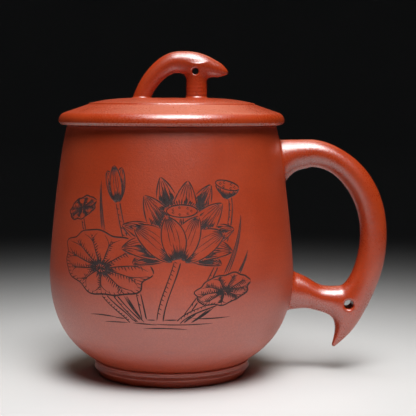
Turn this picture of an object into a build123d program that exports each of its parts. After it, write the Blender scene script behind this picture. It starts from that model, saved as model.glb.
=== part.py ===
"""Lidded clay tea cup: a round cup on a foot ring, a beaked handle and a loose lid with a beaked knob.

Lengths are in millimetres. The origin is the centre of the face that the cup rests on, +Z is up and
+X points to the handle. The handle and the knob lie in the XZ plane.
"""

import os

from build123d import *

# Cup body, outside: two curves that meet upright at the belly. The haunch and the shoulder pull them.
foot_height = 6.4
base_radius = 30.4
haunch_radius = 39.3
haunch_height = 11.0
belly_radius = 51.1
belly_height = 44.0
belly_below = 25.0
belly_above = 6.0
shoulder_radius = 47.1
shoulder_height = 90.8
mouth_radius = 43.4
rim_height = 104.6
rim_round = 0.9

# Cup body, inside
wall = 4.0
floor_thickness = 4.4
floor_radius = 28.5
mouth_bore_radius = 39.5
mouth_land = 9.5

# Foot ring
foot_radius = 32.9
foot_rest_radius = 30.6
foot_ridge_height = 3.4
foot_width = 5.5
foot_round = 0.6

# Lid, with heights above the rim
lid_radius = 46.9
lid_edge_height = 4.5
lid_edge_round = 3.4
lid_lip = 1.3
lid_lip_round = 0.25
lid_hollow = 4.6
crown_seat_height = 8.6
crown_radius = 34.6
crown_ledge = 0.3
crown_edge_height = 0.5
crown_bend_radius = 31.0
crown_bend_height = 10.05
crown_top_height = 11.2
crown_flat_margin = 1.1
flange_clearance = 0.4
flange_width = 3.2
flange_depth = 8.0
flange_round = 0.9

# Knob: centre line of the leg, the arch and the head, in the XZ plane
leg_reach = 13.2
leg_sink = 3.5
leg_lean = 2.0
leg_pull = 8.7
arch_top_x = 2.5
arch_height = 14.6
arch_pull = 6.4
knob_head_radius = 50.0
knob_head_turn = 24.1

# Knob: widths in the XZ plane and thicknesses along Y
leg_width = 6.9
leg_thickness = 7.4
arch_width = 8.9
arch_thickness = 8.6
knob_head_width = 10.2
knob_head_thickness = 9.8
knob_tip_width = 1.8
knob_tip_thickness = 2.2
post_diameter = 8.6
post_x = 10.3
post_height = 4.4
post_blend = 2.4
knob_eye_diameter = 2.6
knob_eye_lead = 0.5
knob_eye_drop = 3.8

# Handle: centre line of the loop, the head and the beak, in the XZ plane
handle_drop = 12.1
loop_start = 6.9
loop_reach = 26.7
loop_fall = 34.2
lower_radius = 51.0
lower_turn = 21.0
beak_straight = 18.4
beak_hook_radius = 45.0
beak_hook_turn = 17.0

# Handle: widths in the XZ plane and thicknesses along Y
arm_width = 11.4
arm_thickness = 12.2
root_width = 24.0
root_middle_width = 14.2
root_thickness = 14.6
handle_head_width = 12.2
beak_width = 9.8
beak_thickness = 10.4
beak_tip_width = 2.2
beak_tip_thickness = 2.6
handle_eye_diameter = 3.8
handle_eye_along = 12.3
handle_eye_inset = 2.7

# Bridge from the handle's head to the body
neck_rise = 0.4
neck_fall = 1.6
neck_width = 11.2
neck_thickness = 11.4
neck_blend = 6.5
bridge_length = 11.0
bridge_rise = 3.3
bridge_root_width = 18.6
bridge_middle_width = 13.4
bridge_root_thickness = 14.0

# Softened rims of the eye holes and tips of the beaks, and the width left for slip between two curved faces
eye_round = 0.4
tip_round = 0.8
slip_gap = 0.05

# How the heads taper to their beaks: share of the length, and share of the full size there
KNOB_TAPER = ((0.36, 1.0), (0.55, 0.95), (0.72, 0.81), (0.87, 0.6))
HANDLE_TAPER = ((0.0, 1.0), (0.45, 0.68))

# Heights and places that follow from the sizes above
floor_top = foot_height + floor_thickness
crown_seat = rim_height + crown_seat_height
crown_top = rim_height + crown_top_height
crown_flat_radius = post_x + post_diameter / 2 + crown_flat_margin
flange_radius = mouth_bore_radius - flange_clearance
flange_bore_radius = flange_radius - flange_width
post_top = crown_top + post_height
loop_top = rim_height - handle_drop
loop_middle = loop_top - loop_fall
arm_top = loop_top + arm_width / 2
neck_x = belly_radius + bridge_length


def coil_section(plane, width, thickness):
    """One rounded cross-section of a coil: width in the XZ plane, thickness along Y."""
    with BuildSketch(plane) as section:
        Ellipse(thickness / 2, width / 2)
    return section.sketch


def across(curve, share):
    """The plane square to a centre line at a share of its length, with its x axis along Y."""
    return Plane(origin=curve @ share, x_dir=(0, 1, 0), z_dir=curve % share)


def upright(x, z):
    """A plane square to the X axis, with its x axis along Y."""
    return Plane(origin=(x, 0, z), x_dir=(0, 1, 0), z_dir=(1, 0, 0))


def sideways(x, z):
    """A plane square to the Y axis, for a hole through the handle or the knob."""
    return Plane(origin=(x, 0, z), x_dir=(1, 0, 0), z_dir=(0, 1, 0))


def between(start, end, share):
    """A size part of the way from one size to another."""
    return start + (end - start) * share


def round_body(grow=0.0):
    """The cup's body as a full round solid, wider all round by grow."""
    belly = belly_radius + grow
    with BuildPart() as solid:
        with BuildSketch(Plane.XZ):
            with BuildLine():
                haunch = Bezier(
                    (base_radius + grow, foot_height),
                    (haunch_radius + grow, haunch_height),
                    (belly, belly_height - belly_below),
                    (belly, belly_height),
                )
                shoulder = Bezier(
                    (belly, belly_height),
                    (belly, belly_height + belly_above),
                    (shoulder_radius + grow, shoulder_height),
                    (mouth_radius + grow, rim_height),
                )
                Polyline(shoulder @ 1, (0, rim_height), (0, foot_height), haunch @ 0)
            make_face()
        revolve(axis=Axis.Z)
    return solid.part


body = round_body()
root_trim = round_body(slip_gap)

# Wall of the cup, with an upright land inside the mouth for the lid's flange
with BuildPart() as cup_wall:
    add(body)
    split(bisect_by=Plane.XY.offset(floor_top), keep=Keep.TOP)
    with BuildSketch(Plane.XZ):
        with BuildLine():
            inner_haunch = Bezier(
                (floor_radius, floor_top),
                (haunch_radius - wall / 2, haunch_height + wall),
                (belly_radius - wall, belly_height - belly_below),
                (belly_radius - wall, belly_height),
            )
            inner_shoulder = Bezier(
                inner_haunch @ 1,
                (belly_radius - wall, belly_height + belly_above),
                (shoulder_radius - wall, shoulder_height - mouth_land),
                (mouth_bore_radius, rim_height - mouth_land),
            )
            Polyline(
                inner_shoulder @ 1,
                (mouth_bore_radius, rim_height),
                (0, rim_height),
                (0, floor_top),
                inner_haunch @ 0,
            )
        make_face()
    revolve(axis=Axis.Z, mode=Mode.SUBTRACT)
    fillet(cup_wall.edges().group_by(Axis.Z)[-1], rim_round)
cup_wall.part.label = "cup_wall"

# Base disc that the wall stands on
with BuildPart() as cup_floor:
    add(body)
    split(bisect_by=Plane.XY.offset(floor_top), keep=Keep.BOTTOM)
cup_floor.part.label = "cup_floor"

# Foot ring: an upright band over a face that draws in to the resting edge
with BuildPart() as foot_ring:
    with BuildSketch(Plane.XZ) as foot_section:
        with BuildLine():
            Polyline(
                (foot_rest_radius, 0),
                (foot_radius, foot_ridge_height),
                (foot_radius, foot_height),
                (foot_rest_radius - foot_width, foot_height),
                (foot_rest_radius - foot_width, 0),
                close=True,
            )
        make_face()
        fillet(foot_section.vertices(), foot_round)
    revolve(axis=Axis.Z)
foot_ring.part.label = "foot_ring"

# Lid plate: bevelled lip, rounded edge and cone, hollowed underneath
with BuildPart() as lid_plate:
    with BuildSketch(Plane.XZ) as plate_section:
        with BuildLine():
            hollow = TangentArc(
                (0, rim_height + lid_hollow),
                (flange_bore_radius, rim_height),
                tangent=(1, 0),
            )
            Polyline(
                hollow @ 1,
                (lid_radius - lid_lip, rim_height),
                (lid_radius, rim_height + lid_lip),
                (lid_radius, rim_height + lid_edge_height),
                (crown_radius + crown_ledge, crown_seat),
                (0, crown_seat),
                hollow @ 0,
            )
        make_face()
        edge_corners = plate_section.vertices().group_by(Axis.X)[-1].sort_by(Axis.Y)
        fillet(edge_corners[0], lid_lip_round)
        fillet(plate_section.vertices().sort_by_distance(edge_corners[1])[0], lid_edge_round)
    revolve(axis=Axis.Z)
lid_plate.part.label = "lid_plate"

# Crown: the raised round sheet on the plate, flat where the knob stands
with BuildPart() as lid_crown:
    with BuildSketch(Plane.XZ):
        with BuildLine():
            flat = Line((0, crown_top), (crown_flat_radius, crown_top))
            fall = TangentArc(
                flat @ 1,
                (crown_bend_radius, rim_height + crown_bend_height),
                tangent=flat % 1,
            )
            bend = TangentArc(
                fall @ 1,
                (crown_radius, crown_seat + crown_edge_height),
                tangent=fall % 1,
            )
            Polyline(bend @ 1, (crown_radius, crown_seat), (0, crown_seat), flat @ 0)
        make_face()
    revolve(axis=Axis.Z)
lid_crown.part.label = "lid_crown"

# Flange: the ring that keeps the lid centred in the mouth
with BuildPart() as lid_flange:
    with BuildSketch(Plane.XY.offset(rim_height)):
        Circle(flange_radius)
        Circle(flange_bore_radius, mode=Mode.SUBTRACT)
    extrude(amount=-flange_depth)
    fillet(lid_flange.edges().group_by(Axis.Z)[0], flange_round)
lid_flange.part.label = "lid_flange"

# Centre line of the knob: up the leg, over the arch and down the head to the beak
leg_start = crown_top - leg_sink
arch_top = crown_top + arch_height
with BuildLine(Plane.XZ):
    arch = Bezier(
        (-leg_reach, leg_start),
        (leg_lean - leg_reach, leg_start + leg_pull),
        (arch_top_x - arch_pull, arch_top),
        (arch_top_x, arch_top),
    )
    knob_head = JernArc(arch @ 1, arch % 1, knob_head_radius, -knob_head_turn)

# Knob arch, with a stub under its head for the post, and an eye
arch_sections = [
    coil_section(
        across(arch, share),
        between(leg_width, arch_width, share),
        between(leg_thickness, arch_thickness, share),
    )
    for share in (0, 0.16, 0.33, 0.5, 0.66, 0.83, 1)
]
knob_head_sections = [
    coil_section(across(knob_head, share), knob_head_width * size, knob_head_thickness * size)
    for share, size in KNOB_TAPER
]
knob_tip = coil_section(across(knob_head, 1), knob_tip_width, knob_tip_thickness)
with BuildPart() as knob_arch:
    loft([*arch_sections, *knob_head_sections, knob_tip])
    split(bisect_by=Plane.XY.offset(crown_top), keep=Keep.TOP)
    with BuildSketch(Plane.XY.offset(post_top)):
        with Locations((post_x, 0)):
            Circle(post_diameter / 2)
    extrude(amount=arch_height - post_height)
    fillet(knob_arch.edges(Select.NEW), post_blend)
    with Locations(sideways(post_x - knob_eye_lead, arch_top - knob_eye_drop)):
        Hole(knob_eye_diameter / 2)
    fillet(knob_arch.edges(Select.NEW), eye_round)
    fillet(knob_arch.faces().sort_by(Axis.X)[-1].edges(), tip_round)
knob_arch.part.label = "knob_arch"

# Knob post
with BuildPart() as knob_post:
    with BuildSketch(Plane.XY.offset(crown_top)):
        with Locations((post_x, 0)):
            Circle(post_diameter / 2)
    extrude(amount=post_height)
knob_post.part.label = "knob_post"

# Centre line of the handle: over the loop, down the arm and along the beak
with BuildLine(Plane.XZ):
    loop = EllipticalCenterArc(
        (belly_radius + loop_start, loop_middle),
        loop_reach,
        loop_fall,
        start_angle=90,
        arc_size=-90,
    )
    lower = JernArc(loop @ 1, loop % 1, lower_radius, -lower_turn)
    straight = Line(lower @ 1, lower @ 1 + beak_straight * (lower % 1))
    hook = JernArc(straight @ 1, straight % 1, beak_hook_radius, -beak_hook_turn)

# Handle loop: the arm swells at its root and at its head, then tapers to the beak
root_middle_x = between(mouth_radius, (loop @ 0).X, 0.5)
root_sections = [
    coil_section(upright(mouth_radius, arm_top - root_width / 2), root_width, root_thickness),
    coil_section(upright(root_middle_x, arm_top - root_middle_width / 2), root_middle_width, arm_thickness),
]
arm_sections = [coil_section(across(loop, share), arm_width, arm_thickness) for share in (0, 0.33, 0.66, 1)]
head_sections = [
    coil_section(across(lower, 1), handle_head_width, arm_thickness),
    coil_section(across(straight, 0.5), handle_head_width, arm_thickness),
]
beak_sections = [
    coil_section(across(hook, share), beak_width * size, beak_thickness * size) for share, size in HANDLE_TAPER
]
beak_tip = coil_section(across(hook, 1), beak_tip_width, beak_tip_thickness)

# Neck from the head towards the bridge, which ends in a flat face
head = straight @ 0.5
neck_z = head.Z + neck_rise
neck_sections = [
    coil_section(upright(neck_x, neck_z), neck_width, neck_thickness),
    coil_section(upright(head.X, neck_z - neck_fall), neck_width, neck_thickness),
]
outward = Vector(-(straight % 0).Z, 0, (straight % 0).X)
eye = straight @ 0 + handle_eye_along * (straight % 0) - handle_eye_inset * outward
with BuildPart() as handle_loop:
    loft([*root_sections, *arm_sections, *head_sections, *beak_sections, beak_tip])
    loft(neck_sections)
    fillet(handle_loop.edges(Select.NEW), neck_blend)
    add(root_trim, mode=Mode.SUBTRACT)
    with Locations(sideways(eye.X, eye.Z)):
        Hole(handle_eye_diameter / 2)
    fillet(handle_loop.edges(Select.NEW), eye_round)
    fillet(handle_loop.faces().sort_by(Axis.Z)[0].edges(), tip_round)
handle_loop.part.label = "handle_loop"

# Bridge from the handle's neck to the body
bridge_sections = [
    coil_section(upright(belly_radius - wall, neck_z + bridge_rise), bridge_root_width, bridge_root_thickness),
    coil_section(
        upright(between(belly_radius, neck_x, 0.5), between(neck_z + bridge_rise, neck_z, 0.45)),
        bridge_middle_width,
        neck_thickness,
    ),
    coil_section(upright(neck_x, neck_z), neck_width, neck_thickness),
]
with BuildPart() as handle_bridge:
    loft(bridge_sections)
    add(root_trim, mode=Mode.SUBTRACT)
handle_bridge.part.label = "handle_bridge"

pieces = (
    cup_wall,
    cup_floor,
    foot_ring,
    handle_loop,
    handle_bridge,
    lid_plate,
    lid_crown,
    lid_flange,
    knob_arch,
    knob_post,
)
os.makedirs("parts", exist_ok=True)
for piece in pieces:
    export_step(piece.part, f"parts/{piece.part.label}.step")
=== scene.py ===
"""Dresses the lidded clay tea cup: turned clay bodies, a coiled handle and knob, and an engraved spray.

Sizes in the classes are millimetres and become metres when a mesh is made. The origin is the centre of
the face that the cup rests on, +Z is up and +X points to the handle.
"""

import logging
import math
from collections.abc import Callable, Sequence
from dataclasses import dataclass, field
from enum import Enum

import bmesh
import bpy
import numpy as np
from bpy.types import Material, Node, NodeSocket, NodeTree, Object
from mathutils import Matrix, Vector, kdtree
from mathutils.geometry import delaunay_2d_cdt


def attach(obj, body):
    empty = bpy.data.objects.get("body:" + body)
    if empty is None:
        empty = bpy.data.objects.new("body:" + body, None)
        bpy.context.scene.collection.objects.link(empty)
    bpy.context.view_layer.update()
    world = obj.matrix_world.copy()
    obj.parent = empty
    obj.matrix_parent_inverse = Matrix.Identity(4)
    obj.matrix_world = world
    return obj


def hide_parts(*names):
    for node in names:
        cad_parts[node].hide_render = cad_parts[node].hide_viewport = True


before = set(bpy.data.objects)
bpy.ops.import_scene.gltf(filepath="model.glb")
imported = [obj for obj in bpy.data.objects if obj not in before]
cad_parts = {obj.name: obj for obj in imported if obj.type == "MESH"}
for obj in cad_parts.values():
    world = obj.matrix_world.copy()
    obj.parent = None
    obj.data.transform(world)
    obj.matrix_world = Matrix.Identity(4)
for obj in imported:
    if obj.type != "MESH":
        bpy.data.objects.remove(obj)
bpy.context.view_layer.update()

LOG = logging.getLogger("tea_cup")
MM = 0.001

Spot = tuple[float, float]
Place = tuple[float, float, float]
Colour = tuple[float, float, float]
Section = tuple[float, float, float, float]
Shade = tuple[int, float]
Faces = list[tuple[int, ...]]
Field = Callable[[np.ndarray], np.ndarray]


class Rider(Enum):
    """The moving bodies that pieces ride on."""

    CUP = "cup"
    SEAT = "lid_seat"
    LID = "lid"


def bezier(points: Sequence[Sequence[float]], count: int) -> np.ndarray:
    """Sample a cubic curve.

    Args:
        points: The four control points.
        count: How many samples to take, ends included.

    Returns:
        An array of count points.
    """
    p = np.array(points, float)
    t = np.linspace(0.0, 1.0, count)[:, None]
    return (1 - t) ** 3 * p[0] + 3 * (1 - t) ** 2 * t * p[1] + 3 * (1 - t) * t**2 * p[2] + t**3 * p[3]


def arc_run(start: np.ndarray, heading: float, radius: float, turn: float, count: int) -> np.ndarray:
    """Sample an arc that leaves a point in a given direction.

    Args:
        start: The first point.
        heading: Direction of travel there, in degrees from the first axis.
        radius: The arc's radius.
        turn: Degrees turned along it, positive to the left.
        count: How many samples to take, ends included.

    Returns:
        An array of count points.
    """
    side = math.copysign(1.0, turn)
    h = math.radians(heading)
    centre = start + side * radius * np.array([-math.sin(h), math.cos(h)])
    angles = h + np.radians(np.linspace(0.0, turn, count))
    return centre + side * radius * np.stack([np.sin(angles), -np.cos(angles)], 1)


def oval(centre: Sequence[float], reach: float, rise: float) -> np.ndarray:
    """Draw an upright oval from its half width and half height."""
    turn = np.linspace(0.0, 2 * math.pi, 41)
    return np.stack([centre[0] + reach * np.cos(turn), centre[1] + rise * np.sin(turn)], 1)


def spin(degrees: float) -> np.ndarray:
    """Give the matrix that turns rows of flat points to the left."""
    c, s = math.cos(math.radians(degrees)), math.sin(math.radians(degrees))
    return np.array([[c, s], [-s, c]])


def lengths(line: np.ndarray) -> np.ndarray:
    """Give how far along a line each of its points lies."""
    return np.r_[0.0, np.cumsum(np.linalg.norm(np.diff(line, axis=0), axis=1))]


def resampled(line: np.ndarray, at: np.ndarray) -> np.ndarray:
    """Give the points that lie at some distances along a line."""
    return np.stack([np.interp(at, lengths(line), line[:, k]) for k in (0, 1)], 1)


def headings(line: np.ndarray) -> np.ndarray:
    """Give the direction of travel at each point of a line."""
    ahead = np.gradient(line, axis=0)
    return ahead / np.maximum(np.linalg.norm(ahead, axis=1), 1e-9)[:, None]


def left_sides(line: np.ndarray) -> np.ndarray:
    """Give the direction to the left of each point of a line."""
    ahead = headings(line)
    return np.stack([-ahead[:, 1], ahead[:, 0]], 1)


def rounded(corners: Sequence[Place], steps: int = 6, most: float = 0.8) -> np.ndarray:
    """Round the corners of an open outline.

    Args:
        corners: Points, each with the radius that softens it.
        steps: How many points an arc gets.
        most: The share of the shorter run at a corner that its arc may take.

    Returns:
        The outline's points.
    """
    out: list[np.ndarray] = []
    pts = [np.array(c[:2], float) for c in corners]
    for i, (point, corner) in enumerate(zip(pts, corners)):
        if corner[2] <= 0 or i in (0, len(pts) - 1):
            out.append(point)
            continue
        before, after = pts[i - 1] - point, pts[i + 1] - point
        long_before, long_after = np.linalg.norm(before), np.linalg.norm(after)
        a, b = before / long_before, after / long_after
        half = math.acos(max(-1.0, min(1.0, float(a @ b)))) / 2
        reach = min(corner[2] / math.tan(half), most * long_before, most * long_after)
        radius = reach * math.tan(half)
        middle = point + (a + b) / np.linalg.norm(a + b) * radius / math.sin(half)
        first, last = point + a * reach - middle, point + b * reach - middle
        for t in np.linspace(0.0, 1.0, steps):
            ray = first * (1 - t) + last * t
            out.append(middle + ray / np.linalg.norm(ray) * radius)
    return np.array(out)


def densified(outline: np.ndarray, pitch: float = 1.2) -> np.ndarray:
    """Divide an outline's long runs evenly.

    Args:
        outline: The outline's points.
        pitch: The longest step to leave.

    Returns:
        The outline with points added on its runs.
    """
    out = [outline[0]]
    for a, b in zip(outline[:-1], outline[1:]):
        n = max(1, math.ceil(np.linalg.norm(b - a) / pitch))
        out += [a + (b - a) * k / n for k in range(1, n + 1)]
    return np.array(out)


@dataclass(frozen=True)
class Nodes:
    """A short way to write a node tree."""

    tree: NodeTree

    def feed(self, socket: NodeSocket, value: object) -> None:
        """Give an input a value, or link it to another node's output.

        Args:
            socket: The input.
            value: The value or the output.
        """
        if isinstance(value, NodeSocket):
            self.tree.links.new(value, socket)
        else:
            socket.default_value = value

    def add(self, kind: str, inputs: dict[int | str, object] | None = None, **settings: object) -> Node:
        """Add a node.

        Args:
            kind: The node's type name.
            inputs: Values, or other nodes' outputs, by socket name or number.
            settings: Properties of the node.

        Returns:
            The new node.
        """
        node = self.tree.nodes.new(kind)
        for key, value in settings.items():
            setattr(node, key, value)
        for key, value in (inputs or {}).items():
            self.feed(node.inputs[key], value)
        return node

    def math(self, operation: str, a: object, b: object = 0.0) -> NodeSocket:
        """Add a Math node and return its output."""
        return self.add("ShaderNodeMath", {0: a, 1: b}, operation=operation).outputs[0]

    def mix(self, share: object, a: object, b: object) -> NodeSocket:
        """Add a colour Mix node.

        Args:
            share: How much of the second colour shows.
            a: The first colour.
            b: The second colour.

        Returns:
            The mixed colour.
        """
        node = self.add("ShaderNodeMix", data_type="RGBA")
        for key, value in (("Factor_Float", share), ("A_Color", a), ("B_Color", b)):
            self.feed(next(s for s in node.inputs if s.identifier == key), value)
        return next(s for s in node.outputs if s.identifier == "Result_Color")

    def band(self, value: object, ends: Spot, results: Spot = (0.0, 1.0)) -> NodeSocket:
        """Map a range of values, given by its ends, to another."""
        inputs = dict(zip(("Value", "From Min", "From Max", "To Min", "To Max"), (value, *ends, *results)))
        return self.add("ShaderNodeMapRange", inputs).outputs["Result"]

    def noise(self, place: NodeSocket, scale: float, detail: float, roughness: float) -> NodeSocket:
        """Add a Noise texture and return its value."""
        inputs = {"Vector": place, "Scale": scale, "Detail": detail, "Roughness": roughness}
        return self.add("ShaderNodeTexNoise", inputs).outputs[0]

    def bump(self, height: NodeSocket, strength: float, distance: float, **over: NodeSocket) -> NodeSocket:
        """Add a Bump node, over another normal where that is given, and return its normal."""
        inputs = {"Height": height, "Strength": strength, "Distance": distance, **over}
        return self.add("ShaderNodeBump", inputs).outputs[0]

    def surface(self, look: dict[str, object]) -> None:
        """End a material's tree with a surface that has the given look."""
        shader = self.add("ShaderNodeBsdfPrincipled", look)
        self.add("ShaderNodeOutputMaterial", {"Surface": shader.outputs[0]})


def blank_material(name: str) -> tuple[Material, Nodes]:
    """Start a material.

    Args:
        name: The material's name.

    Returns:
        The material, and its empty node tree.
    """
    material = bpy.data.materials.new(name)
    material.use_nodes = True
    material.node_tree.nodes.clear()
    return material, Nodes(material.node_tree)


@dataclass(frozen=True)
class ClayFinish:
    """Unglazed red clay, burnished to a satin: fine grain, pale and dark flecks, and faint turning marks."""

    name: str = "red_clay_satin"
    base: Colour = (0.41, 0.039, 0.0050)
    warm: Colour = (0.47, 0.052, 0.0080)
    deep: Colour = (0.30, 0.024, 0.0050)
    fleck_pale: Colour = (0.52, 0.12, 0.05)
    fleck_dark: Colour = (0.16, 0.022, 0.010)
    roughness: float = 0.38
    sheen: float = 1.0
    index: float = 1.65
    cloud_scale: float = 38.0
    grain_scale: float = 1300.0
    fleck_scale: float = 1150.0
    mark_scale: Place = (14.0, 14.0, 900.0)
    relief: float = 0.0002

    def material(self) -> Material:
        """Build the clay's material.

        Returns:
            A node material that reads Object coordinates.
        """
        material, n = blank_material(self.name)
        place = n.add("ShaderNodeTexCoord").outputs["Object"]
        cloud = n.noise(place, self.cloud_scale, 4.0, 0.6)
        grain = n.noise(place, self.grain_scale, 5.0, 0.7)
        turned = n.add("ShaderNodeMapping", {"Vector": place, "Scale": self.mark_scale}).outputs[0]
        marks = n.noise(turned, 1.0, 3.0, 0.55)
        cells = {"Vector": place, "Scale": self.fleck_scale, "Randomness": 1.0}
        flecks = n.add("ShaderNodeTexVoronoi", cells)
        luck = n.add("ShaderNodeSeparateColor", {0: flecks.outputs["Color"]})
        spot = n.band(flecks.outputs["Distance"], (0.16, 0.30), (1.0, 0.0))
        pale = n.math("MULTIPLY", spot, n.band(luck.outputs[0], (0.80, 0.86)))
        dark = n.math("MULTIPLY", spot, n.band(luck.outputs[1], (0.82, 0.88)))
        layers = (
            (n.band(cloud, (0.35, 0.68)), self.warm),
            (n.band(grain, (0.40, 0.62), (0.0, 0.45)), self.deep),
            (n.band(marks, (0.50, 0.75), (0.0, 0.25)), self.deep),
            (n.math("MULTIPLY", pale, 0.40), self.fleck_pale),
            (n.math("MULTIPLY", dark, 0.22), self.fleck_dark),
        )
        colour = (*self.base, 1.0)
        for share, tint in layers:
            colour = n.mix(share, colour, (*tint, 1.0))
        patches = n.band(cloud, (0.3, 0.7), (self.roughness - 0.04, self.roughness + 0.05))
        rough = n.math("ADD", patches, n.band(grain, (0.3, 0.7), (-0.03, 0.05)))
        normal = n.bump(marks, 0.10, self.relief, Normal=n.bump(grain, 0.50, self.relief))
        gloss = {"Roughness": rough, "Specular IOR Level": self.sheen, "IOR": self.index}
        n.surface({"Base Color": colour, "Normal": normal, **gloss})
        return material


@dataclass(frozen=True)
class CutFinish:
    """The floor of an engraved line, rubbed with dark slip."""

    name: str = "dark_cut_line"
    slate: Colour = (0.022, 0.014, 0.015)
    worn: Colour = (0.060, 0.026, 0.023)
    roughness: float = 0.74
    wear_scale: float = 700.0
    relief: float = 0.0001

    def material(self) -> Material:
        """Build the dark line's material.

        Returns:
            A node material that reads Object coordinates.
        """
        material, n = blank_material(self.name)
        place = n.add("ShaderNodeTexCoord").outputs["Object"]
        wear = n.noise(place, self.wear_scale, 3.0, 0.65)
        colour = n.mix(n.band(wear, (0.45, 0.72)), (*self.slate, 1.0), (*self.worn, 1.0))
        normal = n.bump(wear, 0.2, self.relief)
        n.surface({"Base Color": colour, "Roughness": self.roughness, "Normal": normal})
        return material


@dataclass(frozen=True)
class PaperFinish:
    """The pale matt sheet that the cup stands on."""

    name: str = "pale_sheet"
    colour: Colour = (0.58, 0.577, 0.572)
    roughness: float = 0.55

    def material(self) -> Material:
        """Build the sheet's material.

        Returns:
            A plain material.
        """
        material, n = blank_material(self.name)
        n.surface({"Base Color": (*self.colour, 1.0), "Roughness": self.roughness})
        return material


@dataclass(frozen=True)
class Dress:
    """The materials that the pieces share."""

    clay: Material
    burnished: Material
    cut: Material

    def piece(self, obj: Object, rider: Rider, *nodes: str) -> Object:
        """Set a finished piece on its body.

        Args:
            obj: The finished piece.
            rider: The body that it moves with.
            nodes: The CAD nodes that it stands for.

        Returns:
            The same piece.
        """
        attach(obj, rider.value)
        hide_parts(*nodes)
        LOG.info("%s: %d faces, stands for %s", obj.name, len(obj.data.polygons), ", ".join(nodes))
        return obj


def placed(name: str, data: bpy.types.ID) -> Object:
    """Make an object at the origin and link it to the scene.

    Args:
        name: The object's name.
        data: Its mesh, light or camera.

    Returns:
        The new object.
    """
    obj = bpy.data.objects.new(name, data)
    bpy.context.scene.collection.objects.link(obj)
    return obj


def solid_object(name: str, verts: np.ndarray, faces: Faces, materials: list[Material]) -> Object:
    """Make a smooth-shaded object from points and faces.

    Args:
        name: The object's name.
        verts: Points in millimetres.
        faces: Corner numbers of each face.
        materials: The object's materials, in slot order.

    Returns:
        The new object.
    """
    mesh = bpy.data.meshes.new(name)
    mesh.from_pydata((np.asarray(verts, float) * MM).tolist(), [], faces)
    mesh.polygons.foreach_set("use_smooth", [True] * len(mesh.polygons))
    for material in materials:
        mesh.materials.append(material)
    return placed(name, mesh)


class TurningTree:
    """Geometry Nodes that turn an outline about the Z axis, as on a potter's wheel."""

    def __init__(self) -> None:
        """Build the tree and keep the names by which its inputs are set."""
        self.tree = bpy.data.node_groups.new("turning", "GeometryNodeTree")
        face = self.tree.interface
        face.new_socket("Outline", in_out="INPUT", socket_type="NodeSocketGeometry")
        segments = face.new_socket("Segments", in_out="INPUT", socket_type="NodeSocketInt")
        material = face.new_socket("Material", in_out="INPUT", socket_type="NodeSocketMaterial")
        face.new_socket("Turned", in_out="OUTPUT", socket_type="NodeSocketGeometry")
        self.segments, self.material = segments.identifier, material.identifier
        self._wire()

    def _wire(self) -> None:
        """Lay a sheet of rows and columns, and wrap each row round the axis at its outline point."""
        n = Nodes(self.tree)
        given = n.add("NodeGroupInput").outputs
        count = n.add("GeometryNodeAttributeDomainSize", {0: given["Outline"]}, component="MESH")
        rows, columns = count.outputs["Point Count"], n.math("ADD", given["Segments"], 1.0)
        grid = {"Size X": 1.0, "Size Y": 1.0, "Vertices X": rows, "Vertices Y": columns}
        sheet = n.add("GeometryNodeMeshGrid", grid).outputs["Mesh"]
        place = n.add("GeometryNodeInputPosition").outputs[0]
        split = n.add("ShaderNodeSeparateXYZ", {0: place}).outputs
        last = n.math("SUBTRACT", rows, 1.0)
        row = n.math("ROUND", n.math("MULTIPLY", n.math("ADD", split[0], 0.5), last))
        angle = n.math("MULTIPLY", n.math("ADD", split[1], 0.5), 2 * math.pi)
        sample = n.add("GeometryNodeSampleIndex", data_type="FLOAT_VECTOR", domain="POINT")
        n.feed(sample.inputs["Geometry"], given["Outline"])
        n.feed(next(s for s in sample.inputs if s.name == "Value" and s.enabled), place)
        n.feed(sample.inputs["Index"], row)
        point = next(s for s in sample.outputs if s.enabled)
        turn = n.add("ShaderNodeVectorRotate", {"Vector": point, "Angle": angle}, rotation_type="Z_AXIS")
        steps = (
            ("GeometryNodeSetPosition", {"Position": turn.outputs[0]}),
            ("GeometryNodeMergeByDistance", {"Distance": 1e-6}),
            ("GeometryNodeSetShadeSmooth", {}),
            ("GeometryNodeRealizeInstances", {}),
            ("GeometryNodeSetMaterial", {"Material": given["Material"]}),
        )
        shape = sheet
        for kind, inputs in steps:
            shape = n.add(kind, {"Geometry": shape, **inputs}).outputs[0]
        n.add("NodeGroupOutput", {0: shape})

    def turn(self, name: str, outline: np.ndarray, material: Material, segments: int = 192) -> Object:
        """Turn an outline into a plain mesh.

        Args:
            name: The piece's name.
            outline: Radius and height of each point, in millimetres. A solid's outline runs from its top
                outwards and down.
            material: The piece's material.
            segments: How many columns go round the axis.

        Returns:
            The turned object.
        """
        points = [(r * MM, 0.0, z * MM) for r, z in outline]
        chain = bpy.data.meshes.new(name + "_outline")
        chain.from_pydata(points, [(i, i + 1) for i in range(len(points) - 1)], [])
        blank = placed(name + "_outline", chain)
        modifier = blank.modifiers.new("turning", "NODES")
        modifier.node_group = self.tree
        modifier[self.segments] = segments
        modifier[self.material] = material
        graph = bpy.context.evaluated_depsgraph_get()
        mesh = bpy.data.meshes.new_from_object(blank.evaluated_get(graph), depsgraph=graph)
        blank.modifiers.remove(modifier)
        bpy.data.objects.remove(blank)
        mesh.name = name
        return placed(name, mesh)


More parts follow.
